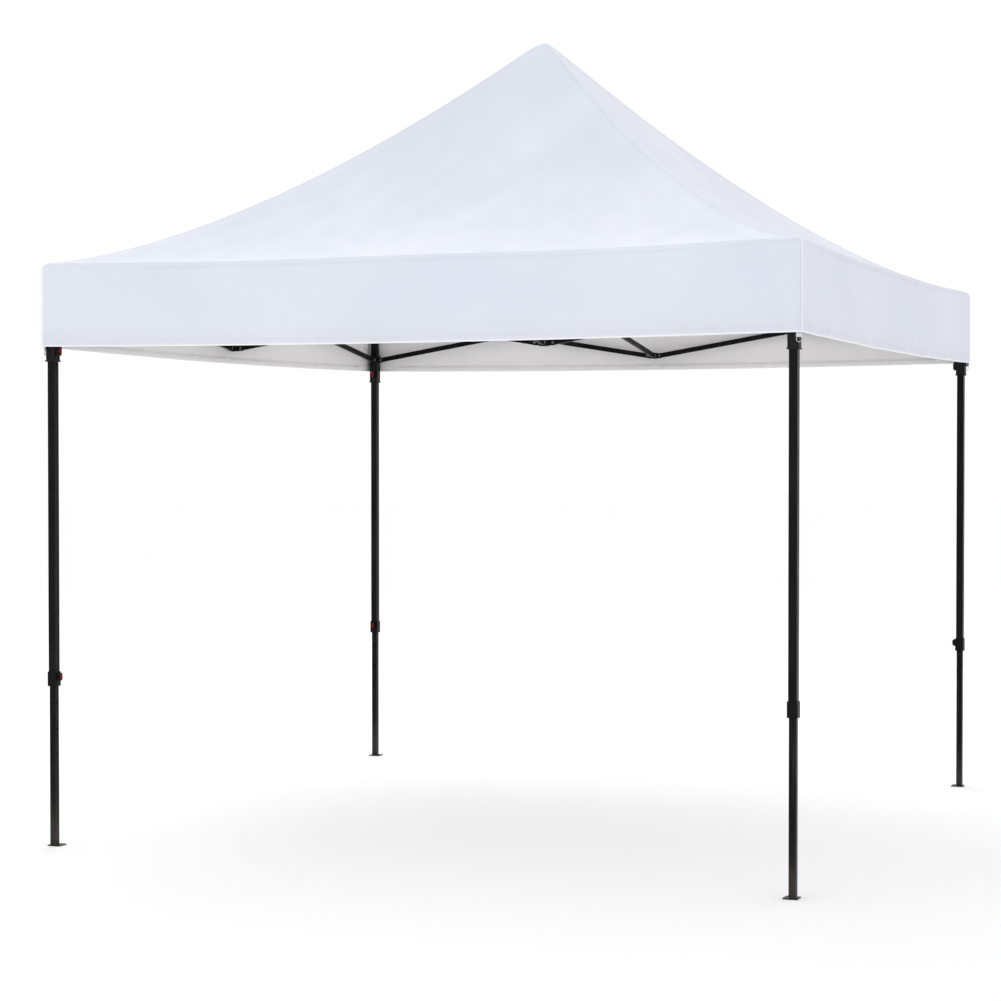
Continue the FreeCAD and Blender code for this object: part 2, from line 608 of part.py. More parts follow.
def check_and_write():
    doc.recompute()
    for thing in doc.Objects:
        if "Invalid" in thing.State or "Error" in thing.State:
            raise RuntimeError(f"{thing.Name} did not compute: {thing.State}")
    for sub_part in sub_parts:
        if sub_part.Shape.isNull() or not sub_part.Shape.isValid():
            raise RuntimeError(f"{sub_part.Label} has no valid shape")
    os.makedirs("parts", exist_ok=True)
    for sub_part in sub_parts:
        sub_part.Shape.exportStep(f"parts/{sub_part.Label}.step")
        solids = sub_part.Shape.Solids
        print(sub_part.Label, len(solids), "solids", round(sub_part.Shape.Volume / 1000, 1), "cm3")


make_sheet()
cover()
hubs()
peak_pole()
for index, side_name in enumerate(SIDES):
    make_side(index, side_name)
for index, corner_name in enumerate(CORNERS):
    make_corner(index, corner_name)
check_and_write()
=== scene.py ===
import json
import math

import bpy
import numpy as np
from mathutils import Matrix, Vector

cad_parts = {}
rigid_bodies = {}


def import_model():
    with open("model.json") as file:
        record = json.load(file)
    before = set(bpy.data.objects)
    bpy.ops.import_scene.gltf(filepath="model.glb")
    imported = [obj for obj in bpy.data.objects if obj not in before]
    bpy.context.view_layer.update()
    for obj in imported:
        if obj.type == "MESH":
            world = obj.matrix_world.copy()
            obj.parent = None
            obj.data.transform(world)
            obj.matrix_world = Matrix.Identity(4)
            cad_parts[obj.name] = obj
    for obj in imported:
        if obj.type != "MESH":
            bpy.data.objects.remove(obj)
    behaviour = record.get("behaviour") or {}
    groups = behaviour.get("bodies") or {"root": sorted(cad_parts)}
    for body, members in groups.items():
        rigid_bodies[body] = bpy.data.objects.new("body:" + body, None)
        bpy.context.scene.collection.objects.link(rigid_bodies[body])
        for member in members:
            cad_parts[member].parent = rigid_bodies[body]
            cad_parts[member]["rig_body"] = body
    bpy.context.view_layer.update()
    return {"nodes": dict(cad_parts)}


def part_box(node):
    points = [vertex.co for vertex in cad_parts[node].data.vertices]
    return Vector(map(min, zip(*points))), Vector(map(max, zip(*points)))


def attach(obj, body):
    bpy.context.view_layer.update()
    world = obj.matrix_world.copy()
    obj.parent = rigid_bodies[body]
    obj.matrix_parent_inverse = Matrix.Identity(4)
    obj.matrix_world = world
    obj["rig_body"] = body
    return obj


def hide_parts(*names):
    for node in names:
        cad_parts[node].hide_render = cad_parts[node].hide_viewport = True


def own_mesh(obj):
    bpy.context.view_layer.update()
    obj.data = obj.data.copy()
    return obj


# The looks of a pop up canopy: its cloth cover, the finish of its frame, and a plain studio.
# Everything is in metres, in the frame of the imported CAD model.

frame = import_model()

# ---- sizes ----------------------------------------------------------------------------------

cover_low, cover_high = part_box("canopy_cover")
HALF = cover_high.x  # centre to the outside of a valance
PEAK = cover_high.z
HEM = cover_low.z
VALANCE = 0.320
EAVE = HEM + VALANCE
RISE = PEAK - EAVE
TOP_SHARE = 0.022 / HALF  # the small round top over the pole's cap
HIP_POWER = 1.50  # how strongly the hips sag
SLOPE_STRETCH = 1.196  # cloth length along the slope for each metre across

EAVE_ROUND = 0.010  # how softly the cloth turns down at the eave
CORNER_ROUND = 0.030  # the same at the corners, where it goes over the leg's bracket
SEAM_ROUND = 0.011  # across a hip or an upright corner seam
BAY_SAG = 0.004  # eave between a corner and the middle of its side
MIDDLE_SAG = 0.015  # eave at the middle of a side
PANEL_SAG = 0.016  # roof panel between its two hips
HEM_SAG = 0.012  # lower edge of the valance at the middle of a side
SOFT_FOLD = 0.0035  # shallow folds that run beside the hips
SOFT_FOLD_WIDTH = 0.24
SOFT_FOLD_FADE = 0.35
SOFT_FOLD_START = 0.05
VALANCE_WAVE = 0.0065  # soft upright folds of the valance
VALANCE_FOLDS = ((0.45, 0.86, 0.0), (0.32, 0.43, 2.1), (0.23, 0.21, 0.0))  # share, width and start
VALANCE_LEAN = 0.25  # how far the folds stand out on the whole
DRAG = 0.0026  # tension lines that run out from a corner
DRAG_LINES = 11
DRAG_REACH = 0.20
DRAG_START = 0.07
DRAG_EDGE = 0.03

CLOTH = 0.0008  # thickness of the coated cloth
SEAM_LIFT = 0.0006  # a felled seam or a hem stands this far out
SEAM_TAPE = 0.0014  # and this far in, where the cloth is folded under
SEAM_BAND = 0.012  # width of a seam, on each side of its line
SEAM_STEP = 0.0018  # the band's outer part, where the raised seam has ended
HEM_BAND = 0.024
EAVE_SEAM = (0.004, 0.012)  # the eave seam, below the end of the turned edge
THREAD_PITCH = 0.0016  # one up and down of the weave
STITCH_LENGTH = 0.0035
SEAM_STITCHES = (0.0030, 0.0095)  # rows beside a hip or corner seam
HEM_STITCHES = 0.0215  # the row above the hem
EAVE_STITCHES = (0.026, 0.032)  # the rows below the eave

CORNER = 0.100  # side of the square of cover that stays with a leg when the frame folds
CORNER_SHARE = 1 - CORNER / HALF
PATCH_SHARE = 0.09  # the part of the roof that stays with the upper hub

SIDES = ("front", "right", "back", "left")
CORNERS = ("front_right", "back_right", "back_left", "front_left")


# ---- small tools ----------------------------------------------------------------------------

def turned(points, quarter_turns):
    """Points of the front side or the front right corner, turned about Z to another one."""
    angle = quarter_turns * math.pi / 2
    c, s = round(math.cos(angle)), round(math.sin(angle))
    points = np.asarray(points, float)
    x, y = points[..., 0], points[..., 1]
    return np.stack([c * x - s * y, s * x + c * y, points[..., 2]], axis=-1)


def make_object(name, points, faces, material, uv_maps=None):
    mesh = bpy.data.meshes.new(name)
    mesh.from_pydata([tuple(p) for p in points], [], [tuple(int(i) for i in f) for f in faces])
    mesh.polygons.foreach_set("use_smooth", [True] * len(mesh.polygons))
    for uv_name, values in (uv_maps or {}).items():
        layer = mesh.uv_layers.new(name=uv_name)
        layer.data.foreach_set("uv", np.asarray(values, np.float32).ravel())
    mesh.materials.append(material)
    thing = bpy.data.objects.new(name, mesh)
    bpy.context.scene.collection.objects.link(thing)
    return thing


# ---- node materials -------------------------------------------------------------------------

class Nodes:
    """A material's node tree, with a short way to add and join nodes."""

    def __init__(self, name, base, roughness, **constants):
        self.material = bpy.data.materials.new(name)
        self.material.use_nodes = True
        self.tree = self.material.node_tree
        self.shader = self.tree.nodes["Principled BSDF"]
        self.shader.inputs["Base Color"].default_value = (*base, 1)
        self.shader.inputs["Roughness"].default_value = roughness
        for socket, value in constants.items():
            self.shader.inputs[socket.replace("_", " ")].default_value = value

    def join(self, source, target):
        self.tree.links.new(source, target)

    def add(self, kind, inputs=None, **settings):
        node = self.tree.nodes.new(kind)
        for key, value in settings.items():
            setattr(node, key, value)
        for key, value in (inputs or {}).items():
            if isinstance(value, bpy.types.NodeSocket):
                self.join(value, node.inputs[key])
            else:
                node.inputs[key].default_value = value
        return node

    def math(self, operation, a, b=0.0):
        return self.add("ShaderNodeMath", {0: a, 1: b}, operation=operation).outputs[0]

    def ramp(self, value, low, high, to_low=0.0, to_high=1.0):
        """value, mapped smoothly from low..high to to_low..to_high."""
        node = self.add(
            "ShaderNodeMapRange",
            {"Value": value, "From Min": low, "From Max": high, "To Min": to_low, "To Max": to_high},
            interpolation_type="SMOOTHSTEP",
        )
        return node.outputs["Result"]

    def noise(self, where, scale, detail=3.0, roughness=0.5):
        settings = {"Vector": where, "Scale": scale, "Detail": detail, "Roughness": roughness}
        return self.add("ShaderNodeTexNoise", settings).outputs["Fac"]

    def mix(self, share, first, second):
        node = self.add("ShaderNodeMix", data_type="RGBA")
        for socket, value in ((node.inputs[0], share), (node.inputs[6], first), (node.inputs[7], second)):
            if isinstance(value, bpy.types.NodeSocket):
                self.join(value, socket)
            elif isinstance(value, tuple):
                socket.default_value = (*value, 1)
            else:
                socket.default_value = value
        return node.outputs[2]

    def stretched(self, where, scale):
        return self.add("ShaderNodeMapping", {"Vector": where, "Scale": scale}).outputs["Vector"]

    def bump(self, height, distance, strength=1.0, below=None):
        inputs = {"Height": height, "Distance": distance, "Strength": strength}
        if below is not None:
            inputs["Normal"] = below
        return self.add("ShaderNodeBump", inputs).outputs["Normal"]


def cloth_material(name, darker, lighter):
    """White coated polyester: plain weave, stitched seams, faint creases and a little grime at the hem,
    with painted shade along the seams and in the stitches, and a painted highlight beside each upright
    corner seam.
    """
    n = Nodes(name, lighter, 0.62, Sheen_Weight=0.12, Sheen_Roughness=0.5)
    n.shader.inputs["Specular IOR Level"].default_value = 0.3
    cloth = n.add("ShaderNodeUVMap", uv_map="cloth").outputs["UV"]
    seams = n.add("ShaderNodeUVMap", uv_map="seams").outputs["UV"]
    place = n.add("ShaderNodeSeparateXYZ", {0: cloth})
    across, down = place.outputs[0], place.outputs[1]
    gaps = n.add("ShaderNodeSeparateXYZ", {0: seams})
    hip_gap, hem_gap = gaps.outputs[0], gaps.outputs[1]

    def thread(value, pitch):
        return n.math("SINE", n.math("MULTIPLY", value, 2 * math.pi / pitch))

    def stitch_row(gap, distance, along):
        """1 on the thread of a row of stitches that runs at a distance from an edge."""
        off = n.math("ABSOLUTE", n.math("SUBTRACT", gap, distance))
        on_row = n.ramp(off, 0.0004, 0.0009, 1.0, 0.0)
        dash = n.ramp(thread(along, STITCH_LENGTH), -0.5, 0.0)
        return n.math("MULTIPLY", on_row, dash)

    rows = [stitch_row(hip_gap, distance, down) for distance in SEAM_STITCHES]
    rows.append(stitch_row(hem_gap, HEM_STITCHES, across))
    rows += [stitch_row(down, distance, across) for distance in EAVE_STITCHES]
    stitches = rows[0]
    for row in rows[1:]:
        stitches = n.math("MAXIMUM", stitches, row)

    # painted shade: a dark line along each hip and corner seam, where the seam's groove lies in shade
    painted_seam_shade = n.ramp(hip_gap, 0.0, 0.0016, 1.0, 0.0)
    weave = n.math("MULTIPLY", thread(across, THREAD_PITCH), thread(down, THREAD_PITCH))
    cloud = n.noise(cloth, 1.7, 4.0)
    crumple = n.noise(n.stretched(cloth, (1.0, 0.6, 1.0)), 9.0, 5.0, 0.55)
    pucker = n.noise(n.stretched(cloth, (38.0, 38.0, 1.0)), 1.0, 1.0)
    near_hip = n.ramp(hip_gap, 0.008, 0.05, 1.0, 0.0)
    near_hem = n.ramp(hem_gap, HEM_BAND, 0.06, 1.0, 0.0)
    near_seam = n.math("MAXIMUM", near_hip, near_hem)

    white = n.mix(n.ramp(cloud, 0.35, 0.65), darker, lighter)
    grime = n.math("MULTIPLY", n.ramp(hem_gap, 0.0, 0.10, 0.35, 0.0), n.noise(cloth, 22.0, 5.0))
    white = n.mix(grime, white, (0.56, 0.55, 0.55))
    # stitch rows are darkened: partly the stitching thread, partly painted shade in the stitch holes
    white = n.mix(n.math("MULTIPLY", stitches, 0.35), white, (0.55, 0.57, 0.64))
    # painted highlight: a whiter strip on the valance beside one side of each upright corner seam, where
    # light catches the rounded corner; the hem band is made whiter too
    left_end = n.math("MULTIPLY", n.ramp(across, -0.5, -0.3, 1.0, 0.0), n.ramp(down, 0.0, 0.01))
    painted_corner_highlight = n.math("MULTIPLY", left_end, n.ramp(hip_gap, 0.0105, 0.0125, 1.0, 0.0))
    whiter_hem_and_corner_highlight = n.math("MAXIMUM", n.ramp(hem_gap, 0.0045, 0.0060, 1.0, 0.0), painted_corner_highlight)
    white = n.mix(n.math("MULTIPLY", whiter_hem_and_corner_highlight, 0.7), white, (0.90, 0.91, 0.93))
    # the painted seam shade darkens the cloth along the seam line
    white = n.mix(n.math("MULTIPLY", painted_seam_shade, 0.6), white, (0.42, 0.43, 0.49))
    n.join(white, n.shader.inputs["Base Color"])
    n.join(n.ramp(crumple, 0.3, 0.7, 0.56, 0.70), n.shader.inputs["Roughness"])

    normal = n.bump(weave, 0.00008, 0.5)
    normal = n.bump(stitches, 0.0005, 0.6, normal)
    normal = n.bump(n.math("MULTIPLY", pucker, near_seam), 0.0016, 0.6, normal)
    normal = n.bump(crumple, 0.004, 0.45, normal)
    n.join(normal, n.shader.inputs["Normal"])

    return n.material


def coated_metal(name, base, roughness, sliding=False):
    """Black powder coat: fine orange peel, dust that gathers low down, and rub marks where tubes slide."""
    n = Nodes(name, base, roughness)
    n.shader.inputs["Specular IOR Level"].default_value = 0.07
    where = n.add("ShaderNodeTexCoord").outputs["Object"]
    peel = n.noise(where, 420.0, 2.0)
    cloud = n.noise(where, 6.0, 4.0)
    streaks = n.noise(n.stretched(where, (260.0, 260.0, 3.0)), 1.0, 3.0)
    scuffs = n.ramp(n.noise(where, 55.0, 6.0, 0.7), 0.66, 0.74)
    lighter = tuple(2.0 * value + 0.004 for value in base)
    colour = n.mix(n.ramp(cloud, 0.35, 0.7, 0.0, 0.45), base, lighter)
    colour = n.mix(n.math("MULTIPLY", scuffs, 0.35), colour, (0.09, 0.09, 0.09))
    height = n.add("ShaderNodeSeparateXYZ", {0: where}).outputs[2]
    dust = n.math("MULTIPLY", n.ramp(height, 0.0, 0.25, 0.30, 0.0), cloud)
    colour = n.mix(dust, colour, (0.20, 0.18, 0.15))
    if sliding:
        marks = n.math("MULTIPLY", n.ramp(streaks, 0.55, 0.72), 0.30)
        colour = n.mix(marks, colour, (0.07, 0.07, 0.075))
    n.join(colour, n.shader.inputs["Base Color"])
    rough = n.ramp(cloud, 0.3, 0.7, roughness - 0.05, roughness + 0.07)
    rough = n.math("ADD", rough, n.math("MULTIPLY", scuffs, 0.2))
    n.join(rough, n.shader.inputs["Roughness"])
    n.join(n.bump(peel, 0.0004, 0.35), n.shader.inputs["Normal"])
    return n.material


def moulded_plastic(name, base, lighter, roughness, grain):
    """Moulded plastic: a fine eroded grain, flow clouds, and pale rub marks."""
    n = Nodes(name, base, roughness)
    n.shader.inputs["Specular IOR Level"].default_value = 0.12
    where = n.add("ShaderNodeTexCoord").outputs["Object"]
    fine = n.noise(where, 900.0, 2.0)
    cloud = n.noise(where, 28.0, 4.0)
    rubs = n.ramp(n.noise(where, 90.0, 5.0, 0.65), 0.62, 0.72)
    colour = n.mix(n.ramp(cloud, 0.35, 0.7), base, lighter)
    rubbed = tuple(2.0 * value + 0.02 for value in lighter)
    colour = n.mix(n.math("MULTIPLY", rubs, 0.25), colour, rubbed)
    n.join(colour, n.shader.inputs["Base Color"])
    n.join(n.ramp(cloud, 0.3, 0.7, roughness - 0.05, roughness + 0.08), n.shader.inputs["Roughness"])
    n.join(n.bump(fine, grain, 0.5), n.shader.inputs["Normal"])
    return n.material


def zinc_material(name, darker, lighter):
    """Zinc plated steel, a little dull, with faint turning marks."""
    n = Nodes(name, lighter, 0.38, Metallic=1.0)
    where = n.add("ShaderNodeTexCoord").outputs["Object"]
    cloud = n.noise(where, 160.0, 4.0)
    n.join(n.mix(n.ramp(cloud, 0.3, 0.7), darker, lighter), n.shader.inputs["Base Color"])
    n.join(n.ramp(cloud, 0.3, 0.7, 0.30, 0.48), n.shader.inputs["Roughness"])
    n.join(n.bump(n.noise(where, 1500.0, 1.0), 0.0001, 0.4), n.shader.inputs["Normal"])
    return n.material


def webbing_material():
    """White woven tape with ribs across it."""
    n = Nodes("white_webbing", (0.74, 0.76, 0.81), 0.8, Sheen_Weight=0.2)
    cloth = n.add("ShaderNodeUVMap", uv_map="cloth").outputs["UV"]
    place = n.add("ShaderNodeSeparateXYZ", {0: cloth})
    slant = n.math("ADD", place.outputs[0], place.outputs[1])
    ribs = n.math("SINE", n.math("MULTIPLY", place.outputs[1], 2 * math.pi / 0.0018))
    twill = n.math("SINE", n.math("MULTIPLY", slant, 2 * math.pi / 0.0030))
    weave = n.math("ADD", ribs, n.math("MULTIPLY", twill, 0.6))
    colour = n.mix(n.ramp(weave, -1.2, 1.2), (0.62, 0.64, 0.69), (0.80, 0.82, 0.87))
    n.join(colour, n.shader.inputs["Base Color"])
    n.join(n.bump(weave, 0.0003, 0.6), n.shader.inputs["Normal"])
    return n.material


def floor_material():
    n = Nodes("studio_floor", (0.97, 0.97, 0.97), 0.9)
    n.shader.inputs["Specular IOR Level"].default_value = 0.2
    where = n.add("ShaderNodeTexCoord").outputs["Object"]
    cloud = n.noise(where, 0.4, 2.0)
    n.join(n.mix(cloud, (0.965, 0.965, 0.967), (0.975, 0.975, 0.975)), n.shader.inputs["Base Color"])
    return n.material


WHITE_CLOTH = cloth_material("white_polyester", (0.655, 0.684, 0.768), (0.690, 0.717, 0.796))
# the inner face's white is lighter and more neutral than the outer: painted light that stands in for light
# shining through the cloth
CLOTH_INSIDE_PAINTED_LIGHT = cloth_material("white_polyester_inside_painted_light", (0.835, 0.825, 0.830), (0.865, 0.855, 0.855))
FRAME_COAT = coated_metal("black_powder_coat", (0.0042, 0.0042, 0.0048), 0.36)
LEG_COAT = coated_metal("black_powder_coat_legs", (0.0036, 0.0036, 0.0042), 0.40, sliding=True)
BLACK_PLASTIC = moulded_plastic(
    "black_nylon", (0.0055, 0.0055, 0.006), (0.011, 0.011, 0.012), 0.50, grain=0.0003
)
RED_PLASTIC = moulded_plastic(
    "dark_red_acetal", (0.115, 0.008, 0.012), (0.16, 0.012, 0.016), 0.30, grain=0.0001
)
ZINC = zinc_material("zinc_plate", (0.42, 0.43, 0.45), (0.58, 0.59, 0.60))
DARK_ZINC = zinc_material("black_zinc_plate", (0.10, 0.10, 0.11), (0.20, 0.20, 0.21))
WEBBING = webbing_material()
SLOT_MATERIALS = {
    "frame_tube": FRAME_COAT,
    "leg_tube": LEG_COAT,
    "moulding": BLACK_PLASTIC,
    "button": RED_PLASTIC,
}


# ---- the cover's shape ----------------------------------------------------------------------

def roof_height(t):
    """Height of the roof's hips at share t of the way from the peak to a corner."""
    soft = np.sqrt(t ** 2 + TOP_SHARE ** 2)
    return EAVE + RISE * (np.clip(1 - soft, 0, 1) / (1 - TOP_SHARE)) ** HIP_POWER


def eave_sag(u):
    return BAY_SAG * np.sin(math.pi * np.abs(u)) ** 2 + MIDDLE_SAG * (1 - u ** 2)


def roof_sag(u, t):
    return t ** 3 * eave_sag(u) + PANEL_SAG * (1 - u ** 2) * np.sin(math.pi * t)


def edge_rounding(u):
    """Radius of the turned eave: small along a side, and larger over the bracket of a leg."""
    return EAVE_ROUND + (CORNER_ROUND - EAVE_ROUND) * np.abs(u) ** 12


def tension_lines(gap, fall, phase):
    """Fine folds that run out from a corner, for a point at gap beside it and fall below or behind it."""
    distance = np.hypot(gap, fall)
    angle = np.arctan2(fall, np.maximum(gap, 1e-6))
    strength = np.exp(-distance / DRAG_REACH) * np.clip(distance / DRAG_START, 0, 1)
    strength = strength * (1 - np.exp(-gap / DRAG_EDGE))
    return DRAG * strength * np.sin(DRAG_LINES * angle + phase)


def cloth_points(side, half, u, down):
    """Where the cover's cloth is, and what its texture maps hold there.

    side is 0 to 3 and half is +1 or -1. u runs from 0 at the middle of the side to 1 at the hip or
    the corner seam. down runs from 0 at the peak to 1 at the end of the roof, 2 at the end of the
    turned edge, and 3 at the hem.
    """
    rounding = edge_rounding(u)
    last_share = 1 - rounding / HALF
    t = np.clip(down, 0, 1) * last_share
    bend = np.clip(down - 1, 0, 1)
    fall = np.clip(down - 2, 0, 1)
    edge = EAVE - eave_sag(u)
    roof_z = roof_height(t) - roof_sag(u, t)
    hem = HEM - HEM_SAG * (1 - u ** 2)
    bend_half = HALF - rounding * (1 - bend) ** 2
    bend_z = (1 - bend) ** 2 * roof_z + 2 * bend * (1 - bend) * edge + bend ** 2 * (edge - rounding)
    fall_z = (edge - rounding) * (1 - fall) + hem * fall
    half_width = np.where(down <= 1, t * HALF, bend_half)
    z = np.where(down <= 1, roof_z, np.where(down <= 2, bend_z, fall_z))

    corner_radius = np.minimum(SEAM_ROUND, 0.9 * half_width)
    straight = half_width - corner_radius
    length = straight + corner_radius * math.pi / 4
    along = np.abs(u) * length
    angle = np.maximum(along - straight, 0) / np.maximum(corner_radius, 1e-9)
    x = np.minimum(along, straight) + corner_radius * np.sin(angle)
    y = -half_width + corner_radius * (1 - np.cos(angle))
    signed_x = half * np.sign(u + (u == 0)) * x
    hip_gap = (1 - np.abs(u)) * length

    phase = 1.7 * side
    waves = VALANCE_LEAN
    for number, (share, width, start) in enumerate(VALANCE_FOLDS, 1):
        waves = waves + share * np.sin(2 * math.pi * signed_x / width + start + number * phase)
    ends = 1 - np.abs(u) ** 10
    corner_phase = 0.9 * side + 0.6 * half
    swing = VALANCE_WAVE * waves * fall ** 1.2 * ends
    swing = swing + tension_lines(hip_gap, edge - z, corner_phase) * np.clip(down - 1, 0, 1)
    folds = SOFT_FOLD * np.sin(2 * math.pi * hip_gap / SOFT_FOLD_WIDTH + phase)
    folds = folds * np.exp(-hip_gap / SOFT_FOLD_FADE) * (1 - np.exp(-hip_gap / SOFT_FOLD_START))
    folds = folds * np.sin(math.pi * np.clip(t, 0, 1))
    lift = folds + tension_lines(hip_gap, (1 - t) * HALF, corner_phase) * np.clip(t, 0, 1) ** 4
    lift = lift * np.clip(2 - down, 0, 1)
    points = np.stack([signed_x, y - swing, z + lift], axis=-1)

    slope_length = -(last_share - t) * HALF * SLOPE_STRETCH
    below_eave = np.where(down <= 1, slope_length, edge - z + rounding * bend)
    hem_gap = np.where(down > 2, z - hem, 1.0)
    cloth_map = np.stack([half * along, below_eave], axis=-1)
    seam_map = np.stack([hip_gap, hem_gap], axis=-1)
    return turned(points, side), cloth_map, seam_map


def cloth_normals(side, half, u, down):
    """Outward normals of the cover, from points close by on each side."""
    step_u, step_down = 0.0006, 0.006

    def place(u_shift, down_shift):
        return cloth_points(side, half, u + u_shift, down + down_shift)[0]

    across = place(step_u, 0) - place(-step_u, 0)
    up = place(0, -step_down) - place(0, step_down)
    normals = np.cross(across, up) * half
    size = np.linalg.norm(normals, axis=-1, keepdims=True)
    upright = np.broadcast_to((0.0, 0.0, 1.0), normals.shape)
    return np.where(size > 1e-12, normals / np.maximum(size, 1e-12), upright)


# The cloth's grid. Its columns are shares of half a side, and distances from the seam beside it. Its
# rows are down values. Two lines lie close together wherever a raised seam or the hem ends.
MAIN_STEPS = 48
EDGE_STEPS = 8
ROOF_ROWS = 52
CORNER_ROWS = 10
PEAK_ROWS = 12
SEAM_GAPS = (0.0108, 0.0096, 0.006, 0.003, 0.0)
HEM_GAPS = (0.0256, 0.024, 0.012, 0.0012, 0.0)
SEAM_EDGE = 0.001
MAIN_COLUMNS = [("main", share) for share in np.linspace(0, CORNER_SHARE, MAIN_STEPS + 1)]
EDGE_COLUMNS = [("edge", share) for share in np.linspace(0, 1, EDGE_STEPS + 1)[1:]]
BAND_COLUMNS = [("band", gap) for gap in SEAM_GAPS]
CORNER_COLUMNS = [MAIN_COLUMNS[-1]] + EDGE_COLUMNS + BAND_COLUMNS
ROOF_COLUMNS = MAIN_COLUMNS + EDGE_COLUMNS + BAND_COLUMNS
VALANCE_ROWS = (
    list(np.linspace(1, 2, 6))
    + [2 + (line + gap) / VALANCE for line in EAVE_SEAM for gap in (0, SEAM_EDGE)]
    + list(np.linspace(2.07, 2.89, 22))
    + [3 - gap / VALANCE for gap in HEM_GAPS]
)


def column_share(column, half_width):
    """How far along its row a column lies: a share for the main ones, a distance for the seam's."""
    kind, value = column
    if kind == "main":
        return np.full_like(half_width, value)
    length = np.maximum(half_width - SEAM_ROUND * (1 - math.pi / 4), 1e-6)
    band = np.minimum(SEAM_BAND / length, 0.9 * (1 - CORNER_SHARE))
    if kind == "edge":
        return CORNER_SHARE + value * (1 - band - CORNER_SHARE)
    return 1 - band * value / SEAM_BAND


def roof_stop(column):
    """Where a column leaves the roof panel: at its lower end, or where the corner piece starts."""
    share = float(column_share(column, np.array(HALF - CORNER)))
    last_share = 1 - edge_rounding(share) / HALF
    return min(1.0, CORNER_SHARE / max(share, CORNER_SHARE) / last_share)


def cloth_grid(side, half, columns, rows_of):
    """A grid of the cloth: for each column, rows_of gives its down values."""
    down = np.array([rows_of(column) for column in columns]).T
    half_width = np.clip(down, 0, 1) * HALF
    shares = [column_share(column, half_width[:, number]) for number, column in enumerate(columns)]
    u = np.stack(shares, axis=-1)
    points, cloth_map, seam_map = cloth_points(side, half, u, down)
    normals = cloth_normals(side, half, u, down)
    in_seam = (seam_map[..., 0] < SEAM_BAND - SEAM_STEP) | (seam_map[..., 1] < HEM_BAND + 0.0002)
    below = cloth_map[..., 1] - 2 * EAVE_ROUND
    in_eave = (down > 2) & (below > EAVE_SEAM[0]) & (below < EAVE_SEAM[1])
    doubled = (in_seam | in_eave).astype(float)
    return {
        "points": points, "normals": normals, "half": half, "doubled": doubled,
        "cloth": cloth_map, "seams": seam_map,
    }


def sew(name, grids):
    """One closed sheet from grids that share edges: an outer face, an inner face and a rim."""
    points = np.concatenate([g["points"].reshape(-1, 3) for g in grids])
    normals = np.concatenate([g["normals"].reshape(-1, 3) for g in grids])
    doubled = np.concatenate([g["doubled"].ravel() for g in grids])
    uv_values = {key: np.concatenate([g[key].reshape(-1, 2) for g in grids]) for key in ("cloth", "seams")}
    keys = np.round(points, 6)
    _, first, same = np.unique(keys, axis=0, return_index=True, return_inverse=True)
    same = same.ravel()
    mean = np.zeros((len(first), 3))
    np.add.at(mean, same, normals)
    mean /= np.linalg.norm(mean, axis=1, keepdims=True)
    middle = points[first]
    doubled = doubled[first]

    faces, corners = [], []
    start = 0
    for g in grids:
        rows, columns = g["points"].shape[:2]
        number = start + np.arange(rows * columns).reshape(rows, columns)
        quads = np.stack([number[:-1, :-1], number[1:, :-1], number[1:, 1:], number[:-1, 1:]], axis=-1)
        for quad in quads.reshape(-1, 4)[:, :: g["half"]]:
            kept = [i for place, i in enumerate(quad) if same[i] != same[quad[place - 1]]]
            if len(kept) > 2:
                faces.append([same[i] for i in kept])
                corners.append(kept)
        start += rows * columns

    count = len(middle)
    outer = middle + mean * (SEAM_LIFT * doubled)[:, None]
    inner = middle - mean * (CLOTH + SEAM_TAPE * doubled)[:, None]
    uses = {}
    for face, around in zip(faces, corners):
        for place in range(len(face)):
            edge = (face[place - 1], face[place])
            uses.setdefault(frozenset(edge), []).append((edge, (around[place - 1], around[place])))
    all_faces = list(faces)
    all_corners = list(corners)
    for face, around in zip(faces, corners):
        all_faces.append([face[place] + count for place in range(0, -len(face), -1)])
        all_corners.append([around[place] for place in range(0, -len(face), -1)])
    rim = set()
    for found in uses.values():
        if len(found) == 1:
            (a, b), (corner_a, corner_b) = found[0]
            rim.update((a, b))
            all_faces.append([b, a, a + count, b + count])
            all_corners.append([corner_b, corner_a, corner_a, corner_b])
    flat_corners = np.concatenate([np.array(c) for c in all_corners])
    uv_maps = {key: values[flat_corners] for key, values in uv_values.items()}
    thing = make_object(name, np.concatenate([outer, inner]), all_faces, WHITE_CLOTH, uv_maps)
    sheet = np.repeat((1, -1, 0), (len(faces), len(faces), len(all_faces) - 2 * len(faces)))
    face_sizes = [len(face) for face in all_faces]
    used = np.concatenate(all_faces) % count
    share = np.repeat(sheet, face_sizes) * np.isin(used, sorted(rim))
    thing.data.normals_split_custom_set([tuple(v) for v in mean[used] * share[:, None]])
    # inner faces take the lighter inside white, painted light for light through the cloth
    thing.data.materials.append(CLOTH_INSIDE_PAINTED_LIGHT)
    thing.data.polygons.foreach_set("material_index", (sheet < 0).astype(int))
    return thing


def spread(start, stop, count):
    return list(np.linspace(start, stop, count))


# ---- the cover's pieces ---------------------------------------------------------------------

# When the frame folds, the bars go upright. Each half of a roof panel and of a valance goes with the outer
# bar under it.
ROOF_SLOPE = math.atan2(RISE, HALF)
UPRIGHT_TILT = math.radians(11)
ROOF_TILT = math.radians(5.5)
STRIP_OFFSET = {1: 0.030, -1: 0.080}


def gather(piece, side, half, axis, anchor):
    """Hang a half panel on the outer bar under it."""
    axis = turned(np.array(axis), side)
    anchor = turned(np.array(anchor), side)
    word = "right" if half > 0 else "left"
    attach(piece, f"{SIDES[side]}_bar_{word}_up")
    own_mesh(piece)


